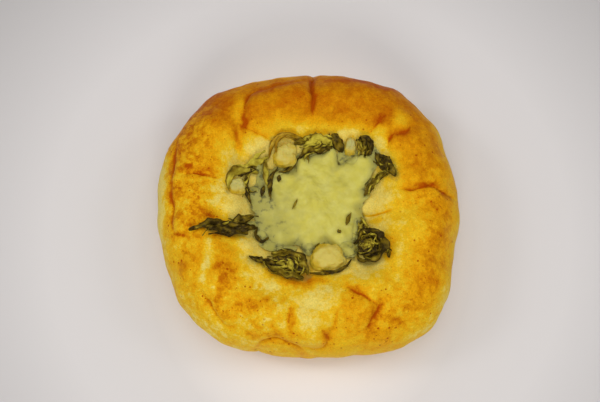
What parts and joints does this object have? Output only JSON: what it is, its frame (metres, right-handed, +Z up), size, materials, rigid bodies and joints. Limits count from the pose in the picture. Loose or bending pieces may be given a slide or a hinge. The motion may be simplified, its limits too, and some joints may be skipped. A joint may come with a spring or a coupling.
{
  "type": "filled savoury bun",
  "caption": "Round baked bun with a puffed, folded golden rim and a shallow crater filled with pickled greens, soft lumps of filling and melted cheese.",
  "frame": {"origin": "middle of the flat underside, where the bun rests", "axes": "+Z up out of the crater; +X across the wider way of the outline; -Y towards the side that the picture shows lowest"},
  "size_m": [0.1118, 0.1071, 0.0357],
  "materials": {
    "crust": "soft baked crust, mottled gold to brown, faint sheen",
    "cheese": "melted, satin, slightly translucent",
    "lump": "moist, satin",
    "greens": "dark, wet",
    "stalk": "olive brown, wet"
  },
  "bodies": {
    "root": {"bun": "crust", "cheese": "cheese", "lump_back": "lump", "lump_back_right": "lump", "lump_front": "lump", "lump_left": "lump", "greens_left": "greens", "greens_upper_left": "greens", "stalk_back_left": "stalk", "greens_back": "greens", "greens_back_right": "greens", "greens_right": "greens", "greens_front": "greens", "shred_front": "greens", "greens_curl": "greens"}
  },
  "joints": []
}
